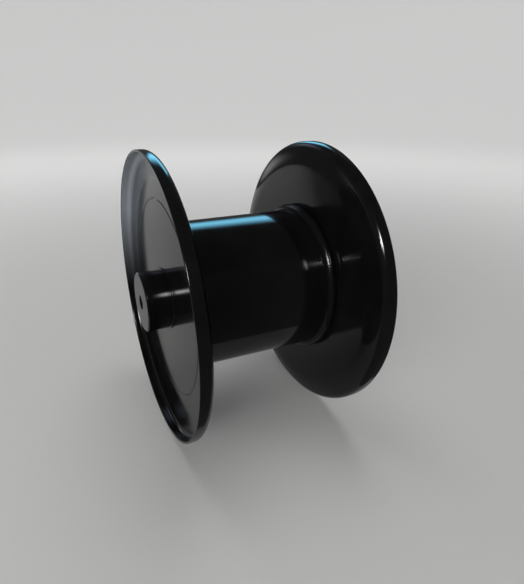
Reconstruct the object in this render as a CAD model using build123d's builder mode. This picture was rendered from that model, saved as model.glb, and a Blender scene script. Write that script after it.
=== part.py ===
from build123d import *
import math
import os

os.makedirs("parts", exist_ok=True)

# Steel spool, millimetres. The axis lies along X, +Z is up, and the origin is the middle
# of the axis. The left flange is at -X. Every piece is turned about the X axis, so each
# profile is drawn in the XY plane with X along the axis and Y as the radius.

# Flanges, pressed from sheet as shallow pans that open outwards
flange_diameter = 250.0
sheet = 2.0
width_over_lips = 160.0
web_depth = 12.0          # from the lip's plane to the outer face of the flat web
shoulder_width = 19.0     # domed shoulder between the flat web and the inside of the rim
shoulder_rise = 3.6       # how far that shoulder climbs from the web towards the lip
rim_bend_radius = 0.5     # inside radius of the bend from the shoulder into the rim
crease_diameter = 173.0   # fine ring pressed into the outer face of the flat web
crease_width = 1.6
crease_depth = 0.5
lip_round = 0.8

# Collar that is drawn inwards from the web's bore, to carry the flange on the shaft
collar_length = 10.0
collar_bend_radius = 2.0

# Barrel, a plain tube that butts against both webs
barrel_diameter = 130.0
barrel_wall = 4.0

# Weld that runs round each end of the barrel, a full bead with a half-round face
weld_round = 5.0          # radius of that face, centred on the barrel's surface
weld_bite = 0.5           # how far its circle would run into the web

# Shaft with a journal at each end
journal_diameter = 52.0
journal_projection = 9.5  # past the lip's plane
journal_chamfer = 1.0
relief_width = 2.0        # narrow groove at the journal's root
relief_depth = 0.5
shaft_waist_diameter = 44.0
seat_overrun = 3.0        # how far the seat runs past the collar
waist_round = 3.0
shaft_clearance = 0.05    # between the shaft and the collar's bore, at the radius

# Centre hole in each end of the shaft, with a 60 degree mouth
centre_mouth_diameter = 13.2
centre_pilot_diameter = 6.3
centre_pilot_depth = 9.0
centre_angle = 60.0

# Radii
flange_r = flange_diameter / 2
rim_r = flange_r - sheet               # inside of the rim
shoulder_r = rim_r - shoulder_width    # where the flat web ends
crease_r = crease_diameter / 2
barrel_r = barrel_diameter / 2
journal_r = journal_diameter / 2
waist_r = shaft_waist_diameter / 2
collar_r = journal_r + shaft_clearance
mouth_r = centre_mouth_diameter / 2
pilot_r = centre_pilot_diameter / 2

# Places along the axis, at the left end
lip_x = -width_over_lips / 2
web_out_x = lip_x + web_depth
web_in_x = web_out_x + sheet
rim_foot_x = web_out_x - shoulder_rise
collar_end_x = web_out_x + collar_length
shaft_end_x = lip_x - journal_projection
weld_reach = weld_round - weld_bite    # from the web to the bead's crest

# The shoulder's two faces are arcs about one centre, so the sheet keeps its thickness.
# Each leaves the flat web without a break, and the outer one is met by the rim's outside.
shoulder_arc_r = (shoulder_width ** 2 + shoulder_rise ** 2) / (2 * shoulder_rise)
shoulder_centre_x = web_out_x - shoulder_arc_r
back_arc_r = shoulder_arc_r + sheet
back_rim_x = shoulder_centre_x + math.sqrt(back_arc_r ** 2 - (flange_r - shoulder_r) ** 2)

# Left flange: lip, rim, bend, shoulder, flat web and drawn collar as one sheet
with BuildPart() as left_flange:
    with BuildSketch(Plane.XY) as section:
        with BuildLine():
            TangentArc((web_out_x, shoulder_r), (rim_foot_x, rim_r), tangent=(0, 1))
            Polyline((rim_foot_x, rim_r), (lip_x, rim_r), (lip_x, flange_r), (back_rim_x, flange_r))
            TangentArc((web_in_x, shoulder_r), (back_rim_x, flange_r), tangent=(0, 1))
            Polyline(
                (web_in_x, shoulder_r),
                (web_in_x, collar_r + sheet),
                (collar_end_x, collar_r + sheet),
                (collar_end_x, collar_r),
                (web_out_x, collar_r),
                (web_out_x, shoulder_r),
            )
        make_face()
        corners = section.vertices()
        rim_inner = corners.sort_by_distance((rim_foot_x, rim_r))[0]
        rim_outer = corners.sort_by_distance((back_rim_x, flange_r))[0]
        collar_inner = corners.sort_by_distance((web_in_x, collar_r + sheet))[0]
        collar_outer = corners.sort_by_distance((web_out_x, collar_r))[0]
        lip_edges = corners.group_by(Axis.X)[0]
        fillet(rim_inner, rim_bend_radius)
        fillet(rim_outer, rim_bend_radius + sheet)
        fillet(collar_inner, collar_bend_radius)
        fillet(collar_outer, collar_bend_radius + sheet)
        fillet(lip_edges, min(lip_round, 0.45 * sheet))
    revolve(axis=Axis.X)
    # Crease: a shallow round-bottomed groove in the flat web
    with BuildSketch(Plane.XY):
        crease_arc_r = (crease_width ** 2 / 4 + crease_depth ** 2) / (2 * crease_depth)
        with Locations((web_out_x + crease_depth - crease_arc_r, crease_r)):
            Circle(crease_arc_r)
    revolve(axis=Axis.X, mode=Mode.SUBTRACT)
left_flange.part.label = "left_flange"

with BuildPart() as right_flange:
    add(left_flange.part.mirror(Plane.YZ))
right_flange.part.label = "right_flange"

# Barrel
with BuildPart() as barrel:
    with BuildSketch(Plane.YZ.offset(web_in_x)):
        Circle(barrel_r)
        Circle(barrel_r - barrel_wall, mode=Mode.SUBTRACT)
    extrude(amount=-2 * web_in_x)
barrel.part.label = "barrel"

# Weld bead in the corner between the web and the barrel
with BuildPart() as left_weld:
    with BuildSketch(Plane.XY):
        with BuildLine():
            foot = (web_in_x, barrel_r + math.sqrt(weld_round ** 2 - weld_reach ** 2))
            crest = (web_in_x + weld_reach, barrel_r + weld_round)
            toe = (web_in_x + weld_reach + weld_round, barrel_r)
            ThreePointArc(foot, crest, toe)
            Polyline(toe, (web_in_x, barrel_r), foot)
        make_face()
    revolve(axis=Axis.X)
left_weld.part.label = "left_weld"

with BuildPart() as right_weld:
    add(left_weld.part.mirror(Plane.YZ))
right_weld.part.label = "right_weld"

# Shaft: journal, relief, seat under the collar and waist, the same towards both ends
with BuildPart() as shaft:
    with BuildSketch(Plane.XY) as half_section:
        seat_end_x = collar_end_x + seat_overrun
        with BuildLine():
            Polyline(
                (shaft_end_x, 0),
                (shaft_end_x, journal_r),
                (web_out_x - relief_width, journal_r),
                (web_out_x - relief_width, journal_r - relief_depth),
                (web_out_x, journal_r - relief_depth),
                (web_out_x, journal_r),
                (seat_end_x, journal_r),
                (seat_end_x + journal_r - waist_r, waist_r),
                (0, waist_r),
                (0, 0),
                close=True,
            )
        make_face()
        ends = half_section.vertices()
        chamfer(ends.sort_by_distance((shaft_end_x, journal_r))[0], journal_chamfer)
        shoulder = ends.sort_by_distance((seat_end_x + journal_r - waist_r, waist_r))[0]
        fillet(shoulder, waist_round)
    revolve(axis=Axis.X)
    mirror(about=Plane.YZ)
    end_faces = shaft.faces().filter_by(GeomType.PLANE).sort_by(Axis.X)
    for end_face in (end_faces[0], end_faces[-1]):
        with Locations(Plane(end_face)):
            CounterSinkHole(pilot_r, mouth_r, centre_pilot_depth, centre_angle)
shaft.part.label = "shaft"

for piece in (left_flange, right_flange, barrel, left_weld, right_weld, shaft):
    export_step(piece.part, f"parts/{piece.part.label}.step")
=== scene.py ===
import math
import bmesh
import bpy
import numpy as np
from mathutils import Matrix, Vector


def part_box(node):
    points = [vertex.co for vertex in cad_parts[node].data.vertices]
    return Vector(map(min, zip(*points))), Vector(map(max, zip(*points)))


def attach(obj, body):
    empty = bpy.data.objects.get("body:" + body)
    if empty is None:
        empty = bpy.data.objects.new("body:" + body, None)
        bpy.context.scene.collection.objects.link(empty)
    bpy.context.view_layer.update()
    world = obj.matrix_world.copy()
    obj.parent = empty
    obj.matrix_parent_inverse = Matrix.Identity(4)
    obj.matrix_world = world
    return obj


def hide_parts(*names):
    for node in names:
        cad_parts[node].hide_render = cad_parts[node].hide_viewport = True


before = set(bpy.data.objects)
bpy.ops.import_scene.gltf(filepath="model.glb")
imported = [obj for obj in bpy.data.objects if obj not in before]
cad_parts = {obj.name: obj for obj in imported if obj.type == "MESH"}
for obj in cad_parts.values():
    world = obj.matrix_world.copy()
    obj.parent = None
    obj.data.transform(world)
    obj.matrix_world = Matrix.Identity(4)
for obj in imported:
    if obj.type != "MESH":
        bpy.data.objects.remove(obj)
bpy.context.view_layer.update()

# Sizes of the spool in metres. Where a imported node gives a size, it is read from there. The axis
# lies along X, and every size along it is for the left-hand end.
MM = 0.001
flange_low, flange_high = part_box("left_flange")
barrel_low, barrel_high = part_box("barrel")
weld_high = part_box("left_weld")[1]
shaft_low, shaft_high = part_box("shaft")

# Pressed flange
lip_x = flange_low.x
flange_r = flange_high.z
sheet = 2 * MM
rim_r = flange_r - sheet
lip_inner_round = 1.1 * MM
lip_outer_round = 0.8 * MM
rim_bend = 4.5 * MM             # inside radius, as the light on the photograph's rim shows it
web_in_x = barrel_low.x
web_out_x = web_in_x - sheet
shoulder_width = 19 * MM
shoulder_rise = 3.6 * MM
shoulder_r = rim_r - shoulder_width
shoulder_arc_r = (shoulder_width ** 2 + shoulder_rise ** 2) / (2 * shoulder_rise)
crease_r = 86.5 * MM
crease_width = 1.6 * MM
crease_depth = 0.5 * MM
crease_edge_round = 0.35 * MM
collar_end_x = flange_high.x
collar_bend = 0.5 * MM          # inside radius, tight enough to show no dark hook at the journal
fine_round = 0.1 * MM           # a broken edge

# Barrel
barrel_r = barrel_high.z
barrel_wall = 4 * MM

# Weld bead
weld_toe_x = weld_high.x
weld_round = weld_high.z - barrel_r
weld_foot = 2.18 * MM           # how far from the barrel the bead's face meets the web

# Shaft
shaft_end_x = shaft_low.x
journal_r = shaft_high.z
journal_chamfer = 1 * MM
relief_width = 2 * MM
relief_depth = 0.5 * MM
collar_r = journal_r + 0.05 * MM
waist_r = 22 * MM
waist_round = 3 * MM
seat_end_x = collar_end_x + 3 * MM
mouth_r = 6.6 * MM
mouth_half_angle = math.radians(30)
pilot_r = 3.15 * MM
pilot_depth = 9 * MM
drill_point = 1.8 * MM


# Turned meshes

def rounded(corners, steps=9, longest=4 * MM, closed=True):
    """An outline of (x, radius, rounding) corners. Each rounding becomes an arc in that many steps,
    and each run over longest is divided, so that a ripple can bend it."""
    points = []
    count = len(corners)
    for i, (x, r, rounding) in enumerate(corners):
        here = np.array((x, r))
        if rounding <= 0 or (not closed and i in (0, count - 1)):
            points.append(here)
            continue
        before = np.array(corners[i - 1][:2]) - here
        after = np.array(corners[(i + 1) % count][:2]) - here
        before /= np.linalg.norm(before)
        after /= np.linalg.norm(after)
        half = math.acos(max(-1.0, min(1.0, float(before @ after)))) / 2
        reach = rounding / math.tan(half)
        bisector = (before + after) / np.linalg.norm(before + after)
        centre = here + bisector * rounding / math.sin(half)
        first = here + before * reach - centre
        last = here + after * reach - centre
        sweep = math.pi - 2 * half
        for k in range(steps + 1):
            t = k / steps
            spoke = math.sin((1 - t) * sweep) * first + math.sin(t * sweep) * last
            points.append(centre + spoke / math.sin(sweep))
    run = []
    for i, here in enumerate(points):
        run.append(here)
        if closed or i < len(points) - 1:
            there = points[(i + 1) % len(points)]
            pieces = int(np.linalg.norm(there - here) / longest)
            for k in range(1, pieces + 1):
                run.append(here + (there - here) * k / (pieces + 1))
    return np.array(run)


def join_on_axis(mesh):
    """Joins the points that meet on the axis into one."""
    shape = bmesh.new()
    shape.from_mesh(mesh)
    bmesh.ops.remove_doubles(shape, verts=shape.verts, dist=0.002 * MM)
    bmesh.ops.dissolve_degenerate(shape, edges=shape.edges, dist=0.001 * MM)
    shape.to_mesh(mesh)
    shape.free()


def turned(name, outline, turns, side=1, closed=True, ripple=None):
    """Sweeps an outline of (x, radius) points round the X axis into one smooth piece. side 1 keeps
    the left-hand outline and -1 mirrors it to the right. ripple(angle, x, radius) gives a small
    push along x and along the radius. An outline that runs towards +X along the inside, and back
    along the outside, gives faces that look outwards."""
    angles = np.linspace(0, 2 * math.pi, turns, endpoint=False)
    count = len(outline)
    a, x = np.meshgrid(angles, outline[:, 0], indexing="ij")
    r = np.tile(outline[:, 1], (turns, 1))
    if ripple is not None:
        dx, dr = ripple(a, x, r)
        x, r = x + dx, r + dr
    spots = np.stack((side * x, r * np.cos(a), r * np.sin(a)), axis=-1).reshape(-1, 3)
    faces = []
    steps = count if closed else count - 1
    for i in range(turns):
        j = (i + 1) % turns
        for k in range(steps):
            m = (k + 1) % count
            quad = [i * count + k, j * count + k, j * count + m, i * count + m]
            faces.append(quad if side < 0 else quad[::-1])
    mesh = bpy.data.meshes.new(name)
    mesh.from_pydata(spots.tolist(), [], faces)
    mesh.validate()
    piece = bpy.data.objects.new(name, mesh)
    bpy.context.scene.collection.objects.link(piece)
    if not closed:
        join_on_axis(mesh)
    mesh.shade_smooth()
    return piece


# Materials

def linear(code):
    """A colour written as sRGB hex, turned to linear."""
    values = [int(code[i:i + 2], 16) / 255 for i in (1, 3, 5)]
    return tuple(v / 12.92 if v <= 0.04045 else ((v + 0.055) / 1.055) ** 2.4 for v in values) + (1,)


def add(tree, kind, inputs=(), **settings):
    """Adds a node, with its settings, and with a link or a value at each named input."""
    node = tree.nodes.new(kind)
    for key, value in settings.items():
        setattr(node, key, value)
    for key, value in dict(inputs).items():
        if isinstance(value, bpy.types.NodeSocket):
            tree.links.new(value, node.inputs[key])
        else:
            node.inputs[key].default_value = value
    return node


def blank(name):
    """A material with an empty node tree, and that tree."""
    material = bpy.data.materials.new(name)
    material.use_nodes = True
    material.node_tree.nodes.clear()
    return material, material.node_tree


def per_metre(size_mm):
    """The scale of a noise pattern whose bumps are size_mm apart, in a mesh in metres."""
    return 1000 / size_mm


def enamel(name, film, roughness, peel_mm, peel_depth_mm, ior):
    """Gloss black enamel sprayed on steel. It gives the eye a near-black body with clear, slightly
    restless reflections. film is the colour where settled dust dulls it. A piece's painted_reflection
    attribute says where a painted reflection makes the enamel bluish grey and half matt."""
    paint, tree = blank(name)
    place = add(tree, "ShaderNodeTexCoord").outputs["Object"]
    # Broad, soft patches about 30 mm apart, where the film is a little duller
    patches = add(tree, "ShaderNodeTexNoise", {
        "Vector": place, "Scale": per_metre(30), "Detail": 3.0, "Roughness": 0.55}).outputs["Fac"]
    dull = add(tree, "ShaderNodeMapRange", {
        "Value": patches, "From Min": 0.35, "From Max": 0.75,
        "To Min": 0.0, "To Max": 1.0}).outputs["Result"]
    enamelled = add(tree, "ShaderNodeMix", {
        "Factor": dull, "A": linear("#0c0c0d"), "B": linear(film)}, data_type="RGBA").outputs["Result"]
    wet = add(tree, "ShaderNodeMapRange", {
        "Value": dull, "From Min": 0.0, "From Max": 1.0,
        "To Min": roughness, "To Max": roughness + 0.04}).outputs["Result"]
    # Painted reflection: a bluish grey, half matt tone that stands in for the light the dish mirrors
    painted_reflection_mask = add(tree, "ShaderNodeAttribute", attribute_name="painted_reflection").outputs["Fac"]
    body = add(tree, "ShaderNodeMix", {
        "Factor": painted_reflection_mask, "A": enamelled, "B": linear("#9aa0a8")}, data_type="RGBA").outputs["Result"]
    wet = add(tree, "ShaderNodeMix", {
        "Factor": painted_reflection_mask, "A": wet, "B": 0.45}, data_type="FLOAT").outputs["Result"]
    # Orange peel of sprayed enamel, about 2 mm across, drawn coarser so that it shows
    peel = add(tree, "ShaderNodeTexNoise", {
        "Vector": place, "Scale": per_metre(peel_mm), "Detail": 2.0,
        "Roughness": 0.5}).outputs["Fac"]
    skin = add(tree, "ShaderNodeBump", {
        "Height": peel, "Distance": peel_depth_mm * MM, "Strength": 1.0}).outputs["Normal"]
    # Dust nibs that dried into the paint, about 9 mm apart and 0.4 mm wide, drawn 1 mm wide so
    # that they show
    nibs = add(tree, "ShaderNodeTexVoronoi", {
        "Vector": place, "Scale": per_metre(9)}, feature="F1").outputs["Distance"]
    nib = add(tree, "ShaderNodeMapRange", {
        "Value": nibs, "From Min": 0.05, "From Max": 0.09,
        "To Min": 1.0, "To Max": 0.0}).outputs["Result"]
    grit = add(tree, "ShaderNodeBump", {
        "Height": nib, "Distance": 0.005 * MM, "Strength": 0.5, "Normal": skin}).outputs["Normal"]
    shader = add(tree, "ShaderNodeBsdfPrincipled", {
        "Base Color": body, "Metallic": 0.0, "Roughness": wet, "IOR": ior, "Normal": grit})
    add(tree, "ShaderNodeOutputMaterial", {"Surface": shader.outputs["BSDF"]})
    return paint


# On pressed sheet the film lies flat and mirrors well, and on the rolled tube it is clearest
flange_paint = enamel("gloss_black_enamel_on_pressed_steel", "#131314", 0.10, 5, 0.0012, 1.4)
barrel_paint = enamel("gloss_black_enamel_on_rolled_tube", "#131314", 0.08, 5, 0.0012, 1.4)
# On the bead and the turned bar it is thinner, so that the steel's own marks blur and dim the gloss
weld_paint = enamel("gloss_black_enamel_on_weld", "#121213", 0.15, 4, 0.002, 1.34)
shaft_paint = enamel("gloss_black_enamel_on_turned_bar", "#141415", 0.13, 4, 0.0015, 1.34)


# The spool

def finish_piece(piece, node, paint):
    """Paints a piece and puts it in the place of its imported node."""
    piece.data.materials.append(paint)
    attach(piece, "root")
    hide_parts(node)


def rising(value, start, over):
    """0 up to start, 1 from start + over, and straight between them."""
    return np.clip((value - start) / over, 0, 1)


def pressed_waves(angle, x, r):
    """A pressed flange is never quite flat: long waves of about 0.1 mm, none at collar or rim."""
    waves = ((2, 0.06, 1.1), (3, 0.05, 0.3), (5, 0.03, 2.0))     # how many, height in mm, phase
    wave = sum(height * np.sin(many * angle + phase) for many, height, phase in waves)
    free = rising(r, 40 * MM, 30 * MM) * rising(flange_r - 4 * MM - r, 0, 12 * MM)
    return wave * MM * free, 0 * r


def weld_ripple(angle, x, r):
    """Fine ripples of a welding robot, about 2.5 mm apart, on the bead's round face."""
    ripples = 168
    drift = 0.35 * np.sin(5 * angle) + 0.2 * np.sin(11 * angle + 1)
    lean = (x - web_in_x) / weld_round * 2.2
    over = rising(r, barrel_r, weld_round)
    return 0 * r, (np.cos(ripples * angle + drift + lean) - 1) * 0.015 * MM * over


def shoulder(arc_r, end_r, corner_round):
    """The domed shoulder of one face of the sheet, from the flat web out to its corner with the rim.
    The last stretch before the corner is left straight, which gives its rounding room."""
    width = end_r - shoulder_r
    reach = np.linspace(0, width, 28)
    reach = np.append(reach[reach < width - 0.7 * corner_round], width)
    centre_x = web_out_x - shoulder_arc_r
    return [(centre_x + math.sqrt(arc_r ** 2 - s ** 2), shoulder_r + s) for s in reach]


front_face = shoulder(shoulder_arc_r, rim_r, rim_bend)
back_face = shoulder(shoulder_arc_r + sheet, flange_r, rim_bend + sheet)
flange_outline = rounded([
    (lip_x, rim_r, lip_inner_round),
    (*front_face[-1], rim_bend),
    *[(x, r, 0) for x, r in front_face[-2::-1]],
    (web_out_x, crease_r + crease_width / 2, crease_edge_round),
    (web_out_x + crease_depth, crease_r, crease_width / 3),
    (web_out_x, crease_r - crease_width / 2, crease_edge_round),
    (web_out_x, collar_r, collar_bend + sheet),
    (collar_end_x, collar_r, fine_round),
    (collar_end_x, collar_r + sheet, fine_round),
    (web_in_x, collar_r + sheet, collar_bend),
    *[(x, r, 0) for x, r in back_face[:-1]],
    (*back_face[-1], rim_bend + sheet),
    (lip_x, flange_r, lip_outer_round),
])

barrel_outline = rounded([
    (web_in_x, barrel_r, 0),
    (-web_in_x, barrel_r, 0),
    (-web_in_x, barrel_r - barrel_wall, 0),
    (web_in_x, barrel_r - barrel_wall, 0),
])[::-1]

# A weld bead has a round face, and two straight sides in the corner
crest_x = weld_toe_x - weld_round
foot_angle = math.pi - math.asin(weld_foot / weld_round)
weld_outline = np.array([
    *[(crest_x + weld_round * math.cos(t), barrel_r + weld_round * math.sin(t))
      for t in np.linspace(foot_angle, 0, 24)],
    (web_in_x, barrel_r),
])[::-1]

shaft_outline = rounded([
    (shaft_end_x + pilot_depth + drill_point, 0, 0),
    (shaft_end_x + pilot_depth, pilot_r, 0),
    (shaft_end_x + (mouth_r - pilot_r) / math.tan(mouth_half_angle), pilot_r, fine_round),
    (shaft_end_x, mouth_r, 0.15 * MM),
    (shaft_end_x, journal_r - journal_chamfer, 0.15 * MM),
    (shaft_end_x + journal_chamfer, journal_r, 0.3 * MM),
    (web_out_x - relief_width, journal_r, 0.2 * MM),
    (web_out_x - relief_width, journal_r - relief_depth, 0.15 * MM),
    (web_out_x, journal_r - relief_depth, 0.15 * MM),
    (web_out_x, journal_r, fine_round),
    (seat_end_x, journal_r, 0.3 * MM),
    (seat_end_x + journal_r - waist_r, waist_r, waist_round),
    (0, waist_r, 0),
], closed=False)
shaft_outline = np.concatenate((shaft_outline, (shaft_outline * (-1, 1))[-2::-1]))[::-1]


def paint_reflection_on_dish(piece):
    """Marks where the painted reflection goes: the wall of the dish and its shoulder, on the upper
    half, stronger towards the top.
    """
    spots = np.empty(len(piece.data.vertices) * 3)
    piece.data.vertices.foreach_get("co", spots)
    x, y, z = spots.reshape(-1, 3).T
    r = np.hypot(y, z)
    past = np.maximum(r - shoulder_r, 0)
    dome = shoulder_arc_r - np.sqrt(np.maximum(shoulder_arc_r ** 2 - past ** 2, 0))
    inside = (x < web_out_x - dome + 0.3 * MM) & (r < rim_r + 0.2 * MM)
    depth = 0.3 * rising(r, 101 * MM, 4 * MM) + 0.6 * rising(r, 117 * MM, 6 * MM)
    # Painted reflection, lighter the higher the point lies on the dish
    reflection_strength = inside * depth * rising(z, -35 * MM, 90 * MM) ** 1.5
    painted_reflection_layer = piece.data.attributes.new("painted_reflection", "FLOAT", "POINT")
    painted_reflection_layer.data.foreach_set("value", reflection_strength)


# The weld's turns give each of its ripples eight
for side, word in ((1, "left"), (-1, "right")):
    flange = turned(f"{word}_pressed_flange", flange_outline, 448, side, ripple=pressed_waves)
    finish_piece(flange, f"{word}_flange", flange_paint)
    # Only the left flange's dish gets the painted reflection
    if word == "left":
        paint_reflection_on_dish(flange)
    weld = turned(f"{word}_weld_bead", weld_outline, 1344, side, ripple=weld_ripple)
    finish_piece(weld, f"{word}_weld", weld_paint)
barrel = turned("barrel_tube", barrel_outline, 384)
finish_piece(barrel, "barrel", barrel_paint)
shaft = turned("shaft_with_journals", shaft_outline, 256, closed=False)
finish_piece(shaft, "shaft", shaft_paint)


# Studio

def paper(name, colour, reflected_shade):
    """Smooth matt studio paper. It glows a little, more so far from the spool, which keeps the
    background evenly pale. The eye and the gloss see that glow, and it lights nothing. Close to the
    spool the gloss sees the reflected_shade colour: painted shade, which darkens the paper in
    reflections alone."""
    material, tree = blank(name)
    place = add(tree, "ShaderNodeNewGeometry").outputs["Position"]
    away = add(tree, "ShaderNodeVectorMath", {0: place}, operation="LENGTH").outputs["Value"]
    seen = add(tree, "ShaderNodeLightPath").outputs
    glow = add(tree, "ShaderNodeMapRange", {
        "Value": away, "From Min": 0.1, "From Max": 2.0, "To Min": 0.07, "To Max": 0.46},
        interpolation_type="SMOOTHSTEP").outputs["Result"]
    either = add(tree, "ShaderNodeMath", {
        0: seen["Is Camera Ray"], 1: seen["Is Glossy Ray"]}, operation="MAXIMUM").outputs["Value"]
    either = add(tree, "ShaderNodeMath", {
        0: either, 1: seen["Is Transmission Ray"]}, operation="MAXIMUM").outputs["Value"]
    shown = add(tree, "ShaderNodeMath", {0: either, 1: glow}, operation="MULTIPLY").outputs["Value"]
    # Painted shade: within about a metre of the spool the gloss sees the paper darker
    near = add(tree, "ShaderNodeMapRange", {
        "Value": away, "From Min": 0.5, "From Max": 1.4, "To Min": 1.0, "To Max": 0.0},
        interpolation_type="SMOOTHSTEP").outputs["Result"]
    near = add(tree, "ShaderNodeMath", {
        0: seen["Is Glossy Ray"], 1: near}, operation="MULTIPLY").outputs["Value"]
    tone = add(tree, "ShaderNodeMix", {
        "Factor": near, "A": linear(colour), "B": linear(reflected_shade)}, data_type="RGBA").outputs["Result"]
    sheet_of_paper = add(tree, "ShaderNodeBsdfPrincipled", {
        "Base Color": tone, "Roughness": 0.9, "Specular IOR Level": 0.1,
        "Emission Color": linear("#ffffff"), "Emission Strength": shown})
    add(tree, "ShaderNodeOutputMaterial", {"Surface": sheet_of_paper.outputs["BSDF"]})
    return material


def felt(name, shown):
    """Felt at the even level that it shows, where 1 is white."""
    material, tree = blank(name)
    level = add(tree, "ShaderNodeEmission", {"Strength": shown})
    add(tree, "ShaderNodeOutputMaterial", {"Surface": level.outputs["Emission"]})
    return material


# A round sheet of paper, 8.4 m across, curves up into a wall
floor_z = flange_low.z
paper_outline = rounded([(floor_z, 0, 0), (floor_z, 4.2, 1.6), (floor_z + 3.2, 4.8, 0)],
                        steps=24, longest=0.12, closed=False)
upright = (0, -math.pi / 2, 0)
floor = turned("floor", paper_outline, 96, closed=False)
floor.rotation_euler = upright
# b6b6b4 is painted shade, seen only in the gloss near the spool
floor.data.materials.append(paper("pale_studio_paper", "#cfcfcd", "#b6b6b4"))

# Black felt keeps the dark parts of the gloss dark, as a photographer of black enamel would. It hangs
# round the set. The sheet that lies on the floor in front and on the left is painted shade: it darkens
# the floor in reflections there. Only the gloss sees either.
# Painted shade: this sheet covers the floor's reflection in front of the spool and on its left
shade_sheet_edge = [(1.8, -0.11), (1.8, -1.75), (-1.75, -1.75), (-1.75, 2.6), (-1.52, 2.6),
             (-0.315, 0.54), (-0.315, -0.11)]
shade_sheet_mesh = bpy.data.meshes.new("shade_sheet_on_floor")
shade_sheet_mesh.from_pydata([(x, y, floor_z + MM) for x, y in shade_sheet_edge], [],
                      [tuple(range(len(shade_sheet_edge)))])
shade_sheet_on_floor = bpy.data.objects.new("shade_sheet_on_floor", shade_sheet_mesh)
bpy.context.scene.collection.objects.link(shade_sheet_on_floor)
felt_foot = floor_z + 2 * MM
felt_curtain = turned("felt_curtain", np.array([(felt_foot, 1.7), (felt_foot, 2.7), (2.8, 2.7)]), 96,
                      closed=False)
felt_curtain.rotation_euler = upright
black_felt_and_painted_shade = felt("black_felt_and_painted_shade", 0.08)
for cloth in (shade_sheet_on_floor, felt_curtain):
    cloth.visible_camera = cloth.visible_diffuse = False
    cloth.visible_shadow = cloth.visible_transmission = False
    cloth.data.materials.append(black_felt_and_painted_shade)


def lamp(name, azimuth, elevation, distance, wide, high, brightness, colour="#ffffff",
         only_gloss=True, fade=(0.5, 0.5)):
    """A soft panel that faces the spool. Azimuth 0 is on the viewer's side (-Y) and 90 is at +X.
    brightness is what the panel's middle would show, where 1 is white. It fades out towards its
    edges, over fade of its width and height. A panel lights either the gloss alone, or all but it."""
    a, e = math.radians(azimuth), math.radians(elevation)
    light = bpy.data.lights.new(name, "AREA")
    light.shape = "RECTANGLE"
    light.size, light.size_y = wide, high
    light.energy = brightness * math.pi * wide * high
    light.color = linear(colour)[:3]
    light.use_nodes = True
    tree = light.node_tree
    tree.nodes.clear()
    spot = add(tree, "ShaderNodeNewGeometry").outputs["Parametric"]
    across = add(tree, "ShaderNodeSeparateXYZ", {"Vector": spot}).outputs
    glow = 1.0
    for axis, share in zip("XY", fade):
        off = add(tree, "ShaderNodeMath", {
            0: across[axis], 1: 0.5}, operation="SUBTRACT").outputs["Value"]
        off = add(tree, "ShaderNodeMath", {0: off}, operation="ABSOLUTE").outputs["Value"]
        soft = add(tree, "ShaderNodeMapRange", {
            "Value": off, "From Min": 0.5, "From Max": 0.5 - share, "To Min": 0.0, "To Max": 1.0},
            interpolation_type="SMOOTHSTEP").outputs["Result"]
        glow = add(tree, "ShaderNodeMath", {0: soft, 1: glow}, operation="MULTIPLY").outputs["Value"]
    emitter = add(tree, "ShaderNodeEmission", {"Strength": glow})
    add(tree, "ShaderNodeOutputLight", {"Surface": emitter.outputs["Emission"]})
    panel = bpy.data.objects.new(name, light)
    panel.location = (distance * math.sin(a) * math.cos(e), -distance * math.cos(a) * math.cos(e),
                      distance * math.sin(e))
    panel.rotation_euler = (math.pi / 2 - e, 0, a)
    panel.visible_camera = False
    panel.visible_glossy = only_gloss
    panel.visible_diffuse = not only_gloss
    bpy.context.scene.collection.objects.link(panel)


# Angles in degrees, distance and size in metres. Two softboxes light the body's colour.
lamp("overhead_softbox", 170, 74, 2.6, 2.6, 2.6, 2.4, only_gloss=False, fade=(0.2, 0.2))
lamp("left_softbox", -50, 14, 2.2, 1.5, 1.2, 8.0, only_gloss=False, fade=(0.2, 0.2))
# The others light the gloss alone: windows behind and on the left, and two bare lamps.
lamp("sky_window", 155, 31, 2.3, 1.05, 1.3, 5.6, colour="#81daff", fade=(0.12, 0.5))
lamp("back_window", -165, 30, 2.3, 1.5, 1.3, 1.2, colour="#d4e2ff")
lamp("low_back_window", -166, 1, 2.3, 1.1, 0.6, 1.2)
lamp("left_window", -110, 13, 2.3, 2.1, 0.5, 0.8)
lamp("left_lamp", -38.3, 32, 2.25, 0.10, 0.25, 320)
lamp("near_left_lamp", -21, 37, 2.27, 0.55, 0.75, 90)

world = bpy.data.worlds.new("dim_studio")
bpy.context.scene.world = world
world.use_nodes = True
air = world.node_tree.nodes["Background"].inputs
air["Color"].default_value = linear("#ffffff")
air["Strength"].default_value = 0.05
bpy.context.scene.view_settings.view_transform = "Standard"

# Camera, fitted to the rims, the barrel and the journal in the photograph
lens = bpy.data.cameras.new("camera")
camera = bpy.data.objects.new("camera", lens)
bpy.context.scene.collection.objects.link(camera)
camera.location = (-0.15567, -0.35494, 0.16716)
camera.rotation_euler = (math.radians(64.19), 0, math.radians(-23.59))
lens.lens = 27.68
lens.sensor_width = 36
lens.shift_x, lens.shift_y = 0.0463, 0.0230
lens.clip_start, lens.clip_end = 0.01, 20
bpy.context.scene.camera = camera
